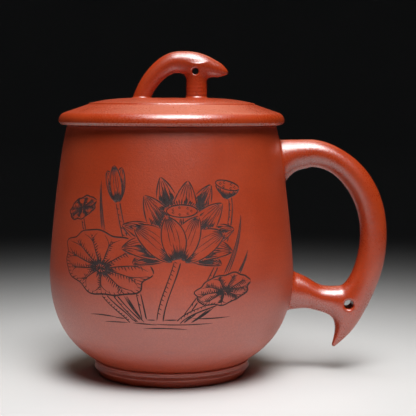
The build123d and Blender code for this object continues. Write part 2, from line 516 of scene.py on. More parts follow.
def eased(x: Sequence[float], values: Sequence[float], at: np.ndarray) -> np.ndarray:
    """Draw a smooth curve through stations.

    Args:
        x: Where the stations are.
        values: The value at each station.
        at: Where to read the curve.

    Returns:
        The curve's value at each place.
    """
    xs, ys = np.array(x, float), np.array(values, float)
    slope = np.diff(ys) / np.diff(xs)
    tangent = np.r_[slope[0], (slope[:-1] + slope[1:]) / 2, slope[-1]]
    i = np.clip(np.searchsorted(xs, at) - 1, 0, len(xs) - 2)
    h = xs[i + 1] - xs[i]
    t = (at - xs[i]) / h
    a, b = 2 * t**3 - 3 * t**2 + 1, t**3 - 2 * t**2 + t
    return a * ys[i] + b * h * tangent[i] + (1 - a) * ys[i + 1] + (t**3 - t**2) * h * tangent[i + 1]


@dataclass
class Coil:
    """A rolled coil of clay along a line in the XZ plane."""

    line: np.ndarray
    width: np.ndarray
    thickness: np.ndarray
    steepest: float = 0.9
    batch: int = 8000

    @classmethod
    def rolled(cls, line: np.ndarray, stations: Sequence[Place], pitch: float) -> "Coil":
        """Roll a coil whose sections ease from station to station.

        Args:
            line: The coil's centre line.
            stations: The number of a point on the line, and the width and thickness there.
            pitch: The step between the coil's balls.

        Returns:
            The coil of balls.
        """
        at = np.arange(len(line))
        marks, widths, thicknesses = zip(*stations)
        return cls(line, eased(marks, widths, at), eased(marks, thicknesses, at)).spread(pitch)

    def spread(self, pitch: float) -> "Coil":
        """Resample the coil evenly, as balls that touch its sections where it tapers.

        Args:
            pitch: The step along the line.

        Returns:
            The coil of balls.
        """
        step = lengths(self.line)
        at = np.linspace(0.0, step[-1], max(2, math.ceil(step[-1] / pitch)))
        line = resampled(self.line, at)
        half, thick = np.interp(at, step, self.width) / 2, np.interp(at, step, self.thickness)
        lean = np.clip(np.gradient(half, at), -self.steepest, self.steepest)
        grown = np.sqrt(1 + lean**2)
        return Coil(line + headings(line) * (half * lean)[:, None], 2 * half * grown, thick * grown)

    def field(self, p: np.ndarray) -> np.ndarray:
        """Measure how far points lie outside the coil's skin.

        Args:
            p: Points, in millimetres.

        Returns:
            A distance for each point, negative inside.
        """
        out = np.empty(len(p), np.float32)
        cx, cz = self.line.astype(np.float32).T
        r, k = (self.width / 2).astype(np.float32), (self.width / self.thickness).astype(np.float32)
        for s in range(0, len(p), self.batch):
            q = p[s : s + self.batch].astype(np.float32)
            d2 = (q[:, :1] - cx) ** 2 + (q[:, 2:] - cz) ** 2 + (q[:, 1:2] * k) ** 2
            out[s : s + self.batch] = (np.sqrt(d2) - r).min(1)
        return out


@dataclass
class Stub:
    """A stub of clay with oval sections square to the X axis.

    Each section has its place along X, the height of its middle, its width and its thickness.
    """

    sections: Sequence[Section]
    softness: float = 0.0
    samples: int = 200

    def field(self, p: np.ndarray) -> np.ndarray:
        """Measure how far points lie outside the stub's skin.

        Args:
            p: Points, in millimetres.

        Returns:
            A distance for each point, negative inside.
        """
        x, *shapes = zip(*self.sections)
        at = np.linspace(x[0], x[-1], self.samples)
        middle, width, thickness = [np.interp(p[:, 0], at, eased(x, values, at)) for values in shapes]
        ring = np.sqrt(((p[:, 2] - middle) / (width / 2)) ** 2 + (p[:, 1] / (thickness / 2)) ** 2)
        side = (ring - 1) * np.minimum(width / 2, thickness / 2) + self.softness
        cap = np.maximum(x[0] - p[:, 0], p[:, 0] - x[-1]) + self.softness
        outside = np.hypot(np.maximum(side, 0.0), np.maximum(cap, 0.0))
        return np.minimum(np.maximum(side, cap), 0.0) + outside - self.softness


def soft_union(a: np.ndarray, b: np.ndarray, blend: float) -> np.ndarray:
    """Join two fields with a fillet of about the given size."""
    h = np.clip(blend - np.abs(a - b), 0.0, None) / blend
    return np.minimum(a, b) - h * h * h * blend / 6.0


def soft_cut(a: np.ndarray, b: np.ndarray, blend: float) -> np.ndarray:
    """Keep what lies in both fields, with the edge between them softened."""
    return -soft_union(-a, -b, blend)


def pierced(form: np.ndarray, p: np.ndarray, eye: Spot, radius: float, blend: float) -> np.ndarray:
    """Pierce a form with a round eye along Y, with softened rims."""
    hole = np.hypot(p[:, 0] - eye[0], p[:, 2] - eye[1]) - radius
    return soft_cut(form, -hole, blend)


@dataclass
class Skin:
    """The skin of a clay form that is given as a distance field."""

    low: Place
    high: Place
    pitch: float
    coarse: int = 4
    margin: float = 1.6
    rounds: int = 3
    ease: float = 0.6
    probe: float = 0.05
    stride: float = 0.4
    least_slope: float = 0.2

    def __post_init__(self) -> None:
        self.pitch *= 1.0

    def _values(self, shape: Field, n: np.ndarray) -> np.ndarray:
        """Read the field on the grid, finely only near the skin.

        Args:
            shape: The field.
            n: How many grid points there are each way.

        Returns:
            The field on the grid.
        """
        axes = [self.low[k] + self.pitch * np.arange(n[k]) for k in range(3)]
        rough_axes = [a[:: self.coarse] for a in axes]
        rough = np.stack(np.meshgrid(*rough_axes, indexing="ij"), -1).reshape(-1, 3)
        far = shape(rough).reshape([len(a) for a in rough_axes])
        nearest = [np.round(np.arange(count) / self.coarse).astype(int) for count in n]
        pick = [np.clip(numbers, 0, len(a) - 1) for numbers, a in zip(nearest, rough_axes)]
        values = far[np.ix_(*pick)].astype(float)
        near = np.argwhere(np.abs(values) < self.margin * self.coarse * self.pitch)
        values[tuple(near.T)] = shape(np.array(self.low) + near * self.pitch)
        return values

    def mesh(self, shape: Field) -> tuple[np.ndarray, Faces]:
        """Draw the skin where the field is zero.

        Args:
            shape: The field.

        Returns:
            The skin's points and four-cornered faces.
        """
        span = (np.array(self.high) - self.low) / self.pitch
        n = (np.ceil(span / self.coarse).astype(int) * self.coarse) + 1
        values = self._values(shape, n)
        inside = values < 0
        total, count = np.zeros((*(n - 1), 3)), np.zeros(n - 1)
        corners = [(i, j, k) for i in (0, 1) for j in (0, 1) for k in (0, 1)]
        for a, axis in [(corner, axis) for corner in corners for axis in range(3) if not corner[axis]]:
            b = tuple(c + (m == axis) for m, c in enumerate(a))
            cut_a, cut_b = [tuple(slice(c, n[m] - 1 + c) for m, c in enumerate(end)) for end in (a, b)]
            va, vb = values[cut_a], values[cut_b]
            cross = inside[cut_a] != inside[cut_b]
            share = np.where(cross, va / np.where(cross, va - vb, 1.0), 0.0)
            point = np.array(a, float)[None, None, None] + share[..., None] * np.eye(3)[axis]
            total += np.where(cross[..., None], point, 0.0)
            count += cross
        active = count > 0
        index = np.full(active.shape, -1)
        index[active] = np.arange(active.sum())
        verts = (np.argwhere(active) + total[active] / count[active][:, None]) * self.pitch + self.low
        faces = np.concatenate([self._quads(inside, index, axis) for axis in range(3)])
        verts = self._settle(shape, verts, faces)
        return verts, [tuple(f) for f in faces.tolist()]

    @staticmethod
    def _quads(inside: np.ndarray, index: np.ndarray, axis: int) -> np.ndarray:
        """Make a face across each grid edge that the skin crosses.

        Args:
            inside: Which grid points are inside.
            index: The number of each cell's point.
            axis: The direction of the edges.

        Returns:
            The corner numbers of the faces.
        """
        order = (axis, (axis + 1) % 3, (axis + 2) % 3)
        a, cells = [np.moveaxis(grid, order, (0, 1, 2)) for grid in (inside, index)]
        edge = np.argwhere(a[:-1, 1:-1, 1:-1] != a[1:, 1:-1, 1:-1])
        i, j, k = edge[:, 0], edge[:, 1] + 1, edge[:, 2] + 1
        quad = np.stack([cells[i, j - 1, k - 1], cells[i, j, k - 1], cells[i, j, k], cells[i, j - 1, k]], 1)
        flip = ~a[i, j, k]
        quad[flip] = quad[flip][:, ::-1]
        return quad

    def _settle(self, shape: Field, verts: np.ndarray, faces: np.ndarray) -> np.ndarray:
        """Even out the points and draw them on to the skin.

        Args:
            shape: The field.
            verts: The points.
            faces: The faces.

        Returns:
            The settled points.
        """
        pairs = np.concatenate([faces[:, [k, (k + 1) % 4]] for k in range(4)])
        degree = np.bincount(pairs[:, 0], minlength=len(verts))[:, None]
        for _ in range(self.rounds):
            around = np.zeros_like(verts)
            np.add.at(around, pairs[:, 0], verts[pairs[:, 1]])
            verts = (1 - self.ease) * verts + self.ease * around / degree
            value = shape(verts)
            probes = [shape(verts + self.probe * np.eye(3)[k]) for k in range(3)]
            slope = np.stack([(probe - value) / self.probe for probe in probes], 1)
            steepness = np.maximum((slope**2).sum(1), self.least_slope)[:, None]
            verts = verts - np.clip(value, -self.stride, self.stride)[:, None] * slope / steepness
        return verts


@dataclass
class Stroke:
    """One engraved line: points on the unrolled wall, and how wide the cut is at each."""

    points: np.ndarray
    width: np.ndarray


@dataclass
class CupBody:
    """The cup's wall and floor in one turned body, with the engraved window on its front."""

    foot_height: float = 6.4
    base_radius: float = 31.9
    haunch: Spot = (39.3, 11.0)
    belly_radius: float = 51.09
    belly_height: float = 44.0
    belly_below: float = 25.0
    belly_above: float = 6.0
    shoulder: Spot = (47.1, 90.8)
    mouth_radius: float = 43.4
    rim_height: float = 104.6
    rim_round: float = 1.1
    rim_drop: float = 1.6
    wall: float = 4.0
    floor_top: float = 10.8
    floor_radius: float = 28.5
    bore_radius: float = 39.5
    land: float = 9.5
    segments: int = 192
    inner_rows: int = 26
    outer_rows: int = 92
    samples: int = 3000
    window: tuple[int, int] = (-40, 27)
    window_heights: Spot = (23.0, 97.0)
    profile: np.ndarray = field(init=False)
    slope: np.ndarray = field(init=False)

    def __post_init__(self) -> None:
        """Sample the outside of the wall finely, from the foot up to the rim, with its slope."""
        low = ((self.base_radius, self.foot_height), self.haunch)
        high = (self.shoulder, (self.mouth_radius, self.rim_height))
        self.profile = self._curve(self.belly_radius, low, high, self.samples)
        self.slope = np.gradient(self.profile[:, 0], self.profile[:, 1])

    def _curve(self, belly: float, low: Sequence[Spot], high: Sequence[Spot], count: int) -> np.ndarray:
        """Draw one face of the wall, out to the belly and in again.

        Args:
            belly: The face's radius at the belly.
            low: Its lower end, and the point that pulls it outwards from there.
            high: The point that pulls it in to its upper end, and that end.
            count: How many samples each half gets.

        Returns:
            Radius and height of each sample.
        """
        z = self.belly_height
        rise = bezier([*low, (belly, z - self.belly_below), (belly, z)], count)
        close = bezier([(belly, z), (belly, z + self.belly_above), *high], count)
        return np.concatenate([rise, close[1:]])

    def radius(self, z: np.ndarray) -> np.ndarray:
        """Give the outside radius at some heights."""
        return np.interp(z, self.profile[:, 1], self.profile[:, 0])

    def lean(self, z: np.ndarray) -> np.ndarray:
        """Give how steeply the outside opens at some heights."""
        return np.interp(z, self.profile[:, 1], self.slope)

    def field(self, p: np.ndarray) -> np.ndarray:
        """Measure how far points lie outside the wall, negative inside."""
        lean = np.clip(self.lean(p[:, 2]), -3, 3)
        return (np.hypot(p[:, 0], p[:, 1]) - self.radius(p[:, 2])) / np.sqrt(1 + lean**2)

    def outline(self) -> tuple[np.ndarray, int, int]:
        """Draw the body's outline from the inside floor, over the rim and down the outside.

        Returns:
            The outline, and the numbers of the window's top and bottom rows.
        """
        land = (self.bore_radius, self.rim_height - self.land)
        pull = (self.haunch[0] - self.wall / 2, self.haunch[1] + self.wall)
        low = ((self.floor_radius, self.floor_top), pull)
        high = ((self.shoulder[0] - self.wall, self.shoulder[1] - self.land), land)
        inner = self._curve(self.belly_radius - self.wall, low, high, self.inner_rows)
        floor = [(r, self.floor_top) for r in np.linspace(0.0, self.floor_radius, 9)[:-1]]
        outer = resampled(self.profile, np.linspace(0.0, lengths(self.profile)[-1], self.outer_rows))[::-1]
        outer = outer[outer[:, 1] < self.rim_height - self.rim_drop]
        corners = [
            (*land, 0),
            (self.bore_radius, self.rim_height, self.rim_round),
            (self.mouth_radius, self.rim_height, self.rim_round),
            (*outer[0], 0),
        ]
        rim = densified(rounded(corners, 7)[:-1], 1.6)
        base = [(r, self.foot_height) for r in np.linspace(self.base_radius, 0.0, 7)[1:]]
        outline = np.concatenate([floor, inner[:-1], rim, outer, base])
        first = len(outline) - len(base) - len(outer)
        bottom, top = self.window_heights
        rows = first + np.flatnonzero((outer[:, 1] < top) & (outer[:, 1] > bottom))
        return outline, int(rows[0]), int(rows[-1])

    def build(self, dress: Dress, cuts: list[Stroke]) -> Object:
        """Turn the body and cut the engraved lines into its wall.

        Args:
            dress: The shared materials.
            cuts: The engraved lines, on the unrolled wall.

        Returns:
            The finished piece.
        """
        outline, top, bottom = self.outline()
        angle = 2 * math.pi / self.segments
        turn = angle * np.arange(self.segments)
        radius, height = outline[:, :1], np.repeat(outline[:, 1:], self.segments, 1)
        grid = np.stack([radius * np.sin(turn), -radius * np.cos(turn), height], -1).reshape(-1, 3)
        left, right = self.window
        faces = []
        for row in range(len(outline) - 1):
            for column in range(self.segments):
                offset = column - self.segments if column > self.segments // 2 else column
                if top <= row < bottom and left <= offset < right:
                    continue
                a, b = row * self.segments + column, row * self.segments + (column + 1) % self.segments
                faces.append((a, a + self.segments, b + self.segments, b))
        panel = EngravedPanel(self, angle, outline[top : bottom + 1, 1][::-1], (left, right))
        points, triangles, dark = panel.cut(cuts)
        inlay = [tuple(len(grid) + i for i in t) for t in triangles]
        obj = solid_object("cup_body", np.concatenate([grid, points]), faces + inlay, [dress.clay, dress.cut])
        self._finish(obj, len(faces), dark)
        return dress.piece(obj, Rider.CUP, "cup_wall", "cup_floor")

    @staticmethod
    def _finish(obj: Object, first: int, dark: list[bool]) -> None:
        """Darken the cut faces, close the seams and keep the cut edges crisp.

        Args:
            obj: The body.
            first: The number of the first face of the window.
            dark: Which faces of the window are cut.
        """
        for i, cut in enumerate(dark):
            obj.data.polygons[first + i].material_index = int(cut)
        bm = bmesh.new()
        bm.from_mesh(obj.data)
        bmesh.ops.remove_doubles(bm, verts=bm.verts, dist=2e-6)
        bmesh.ops.delete(bm, geom=[v for v in bm.verts if not v.link_faces], context="VERTS")
        for edge in bm.edges:
            sides = edge.link_faces
            edge.smooth = len(sides) != 2 or sides[0].material_index == sides[1].material_index
        bm.to_mesh(obj.data)
        bm.free()


@dataclass
class EngravedPanel:
    """A window of the wall, unrolled, in which the engraved lines are cut as grooves."""

    body: CupBody
    angle: float
    heights: np.ndarray
    columns: tuple[int, int]
    reference: float = 50.0
    steepness: float = 0.62
    deepest: float = 0.32
    fineness: float = 0.1
    clear: float = 0.75
    points: list[Spot] = field(default_factory=list)
    edges: list[tuple[int, int]] = field(default_factory=list)
    halves: np.ndarray = field(init=False)
    tree: kdtree.KDTree = field(init=False)

    def _lay(self, cuts: list[Stroke]) -> None:
        """Lay the cuts' edges and middles on the sheet, and note how wide they are.

        Args:
            cuts: The engraved lines.
        """
        middles, halves = [], []
        for cut in cuts:
            p, w = cut.points, cut.width / 2
            side = left_sides(p)
            first, n = len(self.points), len(p)
            self.points += [tuple(q) for q in p]
            self.edges += [(first + i, first + i + 1) for i in range(n - 1)]
            for sign in (1, -1):
                lip = p + sign * side * w[:, None]
                at = len(self.points)
                self.points += [tuple(q) for q in lip[1:-1]]
                chain = [first, *range(at, at + n - 2), first + n - 1]
                self.edges += list(zip(chain[:-1], chain[1:]))
            for a, b, wa, wb in zip(p[:-1], p[1:], w[:-1], w[1:]):
                steps = max(1, math.ceil(np.linalg.norm(b - a) / self.fineness))
                for t in np.arange(steps) / steps:
                    middles.append(a + (b - a) * t)
                    halves.append(wa + (wb - wa) * t)
        self.halves = np.array(halves)
        self.tree = kdtree.KDTree(len(middles))
        for i, m in enumerate(middles):
            self.tree.insert((m[0], m[1], 0.0), i)
        self.tree.balance()

    def _lay_border(self) -> None:
        """Lay the window's border, and the grid points inside it that keep clear of the cuts."""
        across = self.reference * self.angle * np.arange(self.columns[0], self.columns[1] + 1)
        low, high = self.heights[0], self.heights[-1]
        ring = [(u, low) for u in across[:-1]] + [(across[-1], v) for v in self.heights[:-1]]
        ring += [(u, high) for u in across[:0:-1]] + [(across[0], v) for v in self.heights[:0:-1]]
        at = len(self.points)
        self.points += ring
        self.edges += [(at + i, at + (i + 1) % len(ring)) for i in range(len(ring))]
        inner = [(u, v) for v in self.heights[1:-1] for u in across[1:-1]]
        self.points += [(u, v) for u, v in inner if self.tree.find((u, v, 0.0))[2] > self.clear]

    def _reach(self, point: Sequence[float]) -> float:
        """Give how far inside the nearest cut a point of the sheet lies, or zero outside."""
        near = self.tree.find_range((point[0], point[1], 0.0), float(self.halves.max()))
        return max(0.0, max([self.halves[i] - d for _, i, d in near], default=0.0))

    def cut(self, cuts: list[Stroke]) -> tuple[np.ndarray, Faces, list[bool]]:
        """Cut the lines into the window.

        Args:
            cuts: The engraved lines.

        Returns:
            Points in millimetres, triangles, and which triangles are cut.
        """
        self._lay(cuts)
        self._lay_border()
        flat = delaunay_2d_cdt([Vector(p) for p in self.points], self.edges, [], 0, 1e-6, False)
        sheet = np.array([tuple(v) for v in flat[0]])
        depth = np.array([min(self.deepest, self.steepness * self._reach(p)) for p in sheet])
        turn = sheet[:, 0] / self.reference
        lean = self.body.lean(sheet[:, 1])
        size = np.sqrt(1 + lean**2)
        r = self.body.radius(sheet[:, 1]) - depth / size
        z = sheet[:, 1] + depth * lean / size
        triangles = [tuple(f) for f in flat[2]]
        dark = [self._reach(sheet[list(t)].mean(0)) > 0.0 for t in triangles]
        return np.stack([r * np.sin(turn), -r * np.cos(turn), z], 1), triangles, dark


@dataclass
class Spray:
    """The engraved spray: an open water lily with leaves, a bud, a seed head and reeds."""

    seed: int = 11
    line: float = 0.50
    fine: float = 0.33
    pitch: float = 0.7
    shortest: float = 0.8
    waver: float = 0.14
    samples: int = 40
    strokes: list[Stroke] = field(default_factory=list)
    covers: list[np.ndarray] = field(default_factory=list)
    hand: np.random.Generator = field(init=False)

    def __post_init__(self) -> None:
        """Start the hand that cuts the lines."""
        self.hand = np.random.default_rng(self.seed)

    def _hidden(self, points: np.ndarray) -> np.ndarray:
        """Find the points that lie behind a nearer shape.

        Args:
            points: Points on the sheet.

        Returns:
            True for each hidden point.
        """
        hidden = np.zeros(len(points), bool)
        x, y = points[:, :1], points[:, 1:]
        for cover in self.covers:
            x1, y1 = cover[:, 0], cover[:, 1]
            x2, y2 = np.roll(x1, -1), np.roll(y1, -1)
            rise = np.where(y2 == y1, 1e-9, y2 - y1)
            cross = ((y1 > y) != (y2 > y)) & (x < (x2 - x1) * (y - y1) / rise + x1)
            hidden |= cross.sum(1) % 2 == 1
        return hidden

    def cut(self, points: np.ndarray, width: float, lead: float, trail: float) -> None:
        """Cut a line wherever no nearer shape hides it.

        Args:
            points: The line's points on the sheet.
            width: Its width where it is widest.
            lead: The share of its length over which it grows to full width.
            trail: The share over which it fades out.
        """
        length = lengths(points)[-1]
        if length < self.shortest:
            return
        p = resampled(points, np.linspace(0.0, length, max(5, math.ceil(length / self.pitch))))
        seen = ~self._hidden(p)
        runs = np.flatnonzero(np.diff(np.r_[0, seen.astype(int), 0]))
        for a, b in zip(runs[::2], runs[1::2]):
            if b - a < 4:
                continue
            t = np.linspace(0.0, 1.0, b - a)
            taper = np.minimum(1.0, np.minimum(t / lead, (1 - t) / trail)) ** 0.6
            waver = 1 + self.waver * np.sin(t * self.hand.uniform(4, 11) + self.hand.uniform(0, 6))
            self.strokes.append(Stroke(p[a:b], width * taper * waver))

    def between(self, left: np.ndarray, right: np.ndarray) -> None:
        """Let the shape between two lines hide what is cut later."""
        self.covers.append(np.concatenate([left, right[::-1]]))

    def petal(self, base: Spot, lean: float, size: Spot, bend: float, veins: int, shade: Shade) -> None:
        """Cut one petal with its veins and the shading at its base.

        Args:
            base: Where the petal is attached.
            lean: Its lean from upright, in degrees, positive to the right.
            size: How long and how wide it is.
            bend: How far its middle bows sideways.
            veins: How many veins run in from the tip.
            shade: How many shading cuts rise from the base, and the share of the length that they reach.
        """
        up = np.array([math.sin(math.radians(lean)), math.cos(math.radians(lean))])
        out = np.array([up[1], -up[0]])
        length, breadth = size
        root, count = np.array(base, float), self.samples
        pulls = ((0.22, 0.62, 0.6), (0.78, 0.56, 1.0))

        def edge(side: float) -> np.ndarray:
            """Draw the curve that runs from base to tip at a share of the petal's breadth."""
            way = [root + up * length * rise + out * (side * breadth * w + bend * b) for rise, w, b in pulls]
            return bezier([root + out * side * breadth * 0.07, *way, root + up * length], count)

        left, right = edge(-1.0), edge(1.0)
        self.cut(left, self.line, 0.3, 0.08)
        self.cut(right, self.line, 0.3, 0.08)
        for side in np.linspace(-0.62, 0.62, veins):
            start = int(count * (0.60 + 0.16 * abs(side) + self.hand.uniform(-0.05, 0.05)))
            self.cut(edge(side)[start : count - 2], self.fine, 0.5, 0.15)
        for side in (-0.36, 0.06, 0.42):
            start = int(self.hand.uniform(10, 16))
            self.cut(edge(side)[start : start + 18], self.fine * 0.85, 0.4, 0.4)
        for side in np.linspace(-0.8, 0.8, shade[0]):
            stop = int(count * (shade[1] - 0.14 * abs(side) + self.hand.uniform(-0.07, 0.07)))
            self.cut(edge(side)[1 : max(7, stop)], self.line * 1.15, 0.05, 0.7)
        self.between(left, right)

    def flower(self, centre: Spot, scale: float) -> None:
        """Cut an open flower, nearest petals first.

        Args:
            centre: The middle of the flower.
            scale: Its size, where 1 is the full flower.
        """
        x, y = centre

        def ring(petals: Sequence[Section], rise: float, fan: float, veins: int, shade: Shade) -> None:
            """Cut a ring of petals, each with its lean, length, breadth and bend."""
            for lean, long, wide, bend in petals:
                self.petal((x + lean * fan, y + rise), lean, (long * scale, wide * scale), bend, veins, shade)

        near = ((-14, 17.5, 10.5, 1.2), (24, 18.5, 10.5, -1.4))
        near_sides = ((-52, 20.5, 11.0, 2.4), (60, 20.0, 11.0, -2.6))
        far_sides = ((-84, 21.0, 9.5, 3.0), (88, 20.5, 9.0, -3.0))
        far = ((-30, 26.5, 11.5, 1.5), (8, 29.0, 12.0, 0.0), (42, 26.5, 11.5, -1.5))
        back_sides = ((-104, 18.5, 7.5, 2.2), (107, 18.0, 7.5, -2.2))
        back_left = ((-66, 25.0, 10.0, 2.0), (-14, 30.0, 11.0, 0.8))
        back_right = ((28, 29.5, 11.0, -0.8), (70, 25.0, 10.0, -2.0))
        ring(near + near_sides, -2.0, 0.03, 7, (13, 0.40))
        self.seed_cup((x + 1.5, y + 17.0 * scale), 6.2 * scale, 2.4 * scale)
        ring(far_sides + far, 0.0, 0.02, 5, (15, 0.74))
        ring(back_sides + back_left + back_right, 1.0, 0.0, 4, (15, 0.86))

    def seed_cup(self, centre: Spot, reach: float, rise: float) -> None:
        """Cut the seed cup in the flower's heart, with its ring of stamens.

        Args:
            centre: The middle of its flat top.
            reach: Half its width.
            rise: Half its height as it is seen.
        """
        top = oval(centre, reach, rise)
        for k in range(7):
            turn = k * 0.9
            spot = (centre[0] + reach * 0.62 * math.cos(turn), centre[1] + rise * 0.55 * math.sin(turn))
            self.cut(oval(spot, 0.55, 0.38), self.fine, 0.02, 0.02)
        self.cut(top, self.line, 0.02, 0.02)
        self.covers.append(top)
        for angle in np.linspace(-1.35, 1.35, 23):
            ray = np.array([math.sin(angle), math.cos(angle) * 0.75])
            length = reach * (0.55 + self.hand.uniform(-0.1, 0.12))
            foot = np.array(centre) + ray * np.array([reach, rise])
            self.cut(np.linspace(foot, foot + ray * length, 8), self.line, 0.2, 0.1)

    def leaf(self, centre: Spot, reach: float, rise: float, tilt: float, veins: int) -> None:
        """Cut a round floating leaf with forked veins.

        Args:
            centre: Where the veins meet.
            reach: Half its width.
            rise: Half its height as it is seen.
            tilt: Its tilt, in degrees.
            veins: How many veins it has.
        """
        rim = 120
        turn = np.linspace(0.0, 2 * math.pi, rim + 1)
        wave = 1 + 0.045 * np.sin(7 * turn + 0.6) + 0.03 * np.sin(11 * turn + 2.0)
        flat = np.stack([reach * wave * np.cos(turn), rise * wave * np.sin(turn) + 0.18 * rise], 1)
        shape = flat @ spin(tilt) + centre
        middle = np.array(centre, float)

        def outward(i: int, share: float) -> np.ndarray:
            """Give the point at a share of the way from the middle to the leaf's rim."""
            return middle + (shape[i % rim] - middle) * share

        self.cut(shape, self.line * 1.1, 0.01, 0.01)
        for k in range(veins):
            i = int(rim * (k + 0.5) / veins)
            bow = np.array([0.0, 0.5]) * self.hand.uniform(0.4, 1.4)
            end = outward(i, 0.94)
            pulls = [middle + (end - middle) * share + bow for share in (0.35, 0.7)]
            spine = bezier([middle, *pulls, end], 30)
            self.cut(spine, self.line, 0.02, 0.5)
            along = spine[12] - spine[6]
            across = np.array([along[1], -along[0]]) / np.linalg.norm(along)
            for j in range(5, 26, 2):
                feather = (spine[j + 1] - spine[j]) * 1.2 + across * self.hand.uniform(1.0, 2.3)
                self.cut(np.linspace(spine[j], spine[j] + feather, 6), self.line, 0.05, 0.8)
            for fork in (-4, 4):
                twig = bezier([spine[17], spine[21], spine[24], outward(i + fork, 0.93)], 14)
                self.cut(twig, self.fine, 0.05, 0.5)
            for lean in (-5, -2, 2, 5):
                stop = outward(i + lean, 0.30 + self.hand.uniform(-0.06, 0.10))
                self.cut(np.linspace(outward(i + lean, 0.10), stop, 8), self.line * 1.1, 0.05, 0.7)
        for i in range(rim // 2, rim, 2):
            inner = shape[i] + (middle - shape[i]) * self.hand.uniform(0.10, 0.20)
            self.cut(np.linspace(shape[i], inner, 6), self.fine * 1.2, 0.05, 0.7)
        self.covers.append(shape[:-1])

    def stem(self, way: Sequence[Spot], width: float) -> None:
        """Cut a stem as two lines with short ticks between them.

        Args:
            way: The four points that pull its curve.
            width: How thick it is.
        """
        spine = bezier(way, 60)
        side = left_sides(spine) * width / 2
        left, right = spine + side, spine - side
        self.cut(left, self.line, 0.05, 0.05)
        self.cut(right, self.line * 0.85, 0.05, 0.05)
        for i in range(4, 56, 4):
            tick = np.linspace(right[i], right[i] + (left[i + 2] - right[i]) * 0.55, 5)
            self.cut(tick, self.fine, 0.1, 0.5)
        self.between(left, right)

    def reed(self, root: Spot, tip: Spot, bow: float, breadth: float) -> None:
        """Cut a long blade with a mid line.

        Args:
            root: Where the blade starts.
            tip: Where it ends.
            bow: How far it bows to the right.
            breadth: How wide it is.
        """
        a, b = np.array(root, float), np.array(tip, float)
        out = np.array([(b - a)[1], -(b - a)[0]]) / np.linalg.norm(b - a)

        pulls = ((0.35, 1.0, 1.0), (0.75, 0.8, 0.6))

        def edge(side: float) -> np.ndarray:
            """Draw one edge, or the mid line, of the blade."""
            way = [a + (b - a) * rise + out * (bow * k + side * breadth * w) for rise, k, w in pulls]
            return bezier([a, *way, b], 60)

        left, right = edge(-0.5), edge(0.5)
        self.cut(left, self.line, 0.1, 0.3)
        self.cut(right, self.line, 0.1, 0.3)
        self.cut(edge(0.0)[6:50], self.fine, 0.2, 0.5)
        self.between(left, right)

    def bud(self, base: Spot, lean: float, length: float) -> None:
        """Cut a closed bud of three petals.

        Args:
            base: Where the bud meets its stem.
            lean: Its lean from upright, in degrees.
            length: From base to tip.
        """
        self.petal(base, lean, (length, length * 0.40), 0.0, 5, (9, 0.45))
        for side in (-1, 1):
            self.petal(base, lean + 16 * side, (length * 0.93, length * 0.42), -1.0 * side, 3, (11, 0.8))

    def pod(self, centre: Spot, reach: float, lean: float) -> None:
        """Cut a ripe seed pod, seen from the side.

        Args:
            centre: The middle of its flat top.
            reach: Half the width of that top.
            lean: Its lean from upright, in degrees, positive to the right.
        """
        tilt = spin(-lean)
        top = oval((0.0, 0.0), reach, 0.30 * reach) @ tilt + centre
        for k in range(6):
            turn = k * 1.05
            spot = np.array([reach * 0.60 * math.cos(turn), reach * 0.16 * math.sin(turn)]) @ tilt + centre
            self.cut(oval(spot, 0.62, 0.42), self.fine, 0.02, 0.02)
        self.cut(top, self.line, 0.02, 0.02)
        self.covers.append(top)

        def side(share: float) -> np.ndarray:
            """Draw one line of the pod's flank, from its rim to its neck."""
            way = [(share, 0.0), (share * 0.95, -0.45), (share * 0.3, -0.7), (share * 0.12, -0.95)]
            return bezier([np.array(q) * reach @ tilt + centre for q in way], 30)

        for share in np.linspace(-1.0, 1.0, 13):
            self.cut(side(share), self.line if abs(share) == 1.0 else self.fine * 1.3, 0.02, 0.2)
        self.between(side(-1.0), side(1.0))

    def ripple(self, u: float, v: float, reach: float, bow: float) -> None:
        """Cut a water line from its middle, half its length and how far it bows."""
        pulls = ((u - reach * 0.4, v + bow), (u + reach * 0.4, v + bow * 0.6))
        self.cut(bezier([(u - reach, v), *pulls, (u + reach, v - 0.2)], 40), self.line * 0.9, 0.35, 0.35)

    def draw(self) -> list[Stroke]:
        """Draw the whole spray, nearest shapes first.

        Returns:
            The lines to cut.
        """
        self.flower((4.0, 56.0), 0.98)
        self.leaf((-27.0, 50.0), 20.5, 12.0, -9.0, 11)
        self.leaf((22.0, 41.5), 11.5, 5.6, 12.0, 9)
        self.leaf((-38.5, 72.0), 8.2, 3.9, 22.0, 8)
        self.bud((-20.5, 75.5), -12.0, 14.5)
        self.pod((25.0, 82.0), 5.6, 14.0)
        self.stem([(-20.5, 75.5), (-18.5, 66.0), (-12.0, 50.0), (-9.0, 31.0)], 1.7)
        self.stem([(4.0, 55.0), (2.5, 47.0), (-2.0, 40.0), (-3.0, 30.5)], 2.4)
        self.stem([(-27.0, 42.5), (-24.0, 37.0), (-17.0, 34.0), (-14.0, 30.0)], 1.8)
        self.stem([(22.0, 38.5), (17.0, 36.0), (8.0, 35.0), (4.0, 30.0)], 1.5)
        self.stem([(25.8, 77.5), (27.0, 67.0), (20.0, 50.0), (5.0, 30.5)], 1.4)
        self.stem([(-38.0, 69.5), (-36.0, 60.0), (-24.0, 42.0), (-11.0, 30.5)], 1.3)
        self.reed((-9.0, 30.0), (-29.0, 84.0), -7.0, 2.4)
        self.reed((6.0, 30.0), (30.5, 71.0), 7.0, 2.4)
        self.reed((-12.0, 30.0), (-45.0, 60.0), -3.0, 2.2)
        self.reed((9.0, 30.0), (33.0, 57.0), 4.0, 2.0)
        self.ripple(-6, 31.5, 15, -0.6)
        self.ripple(-15, 29.3, 11, 0.7)
        self.ripple(6, 29.6, 12, -0.6)
        self.ripple(-1, 27.4, 9, 0.7)
        self.ripple(17, 31.8, 8, -0.6)
        self.ripple(-26, 31.6, 7, 0.7)
        return self.strokes


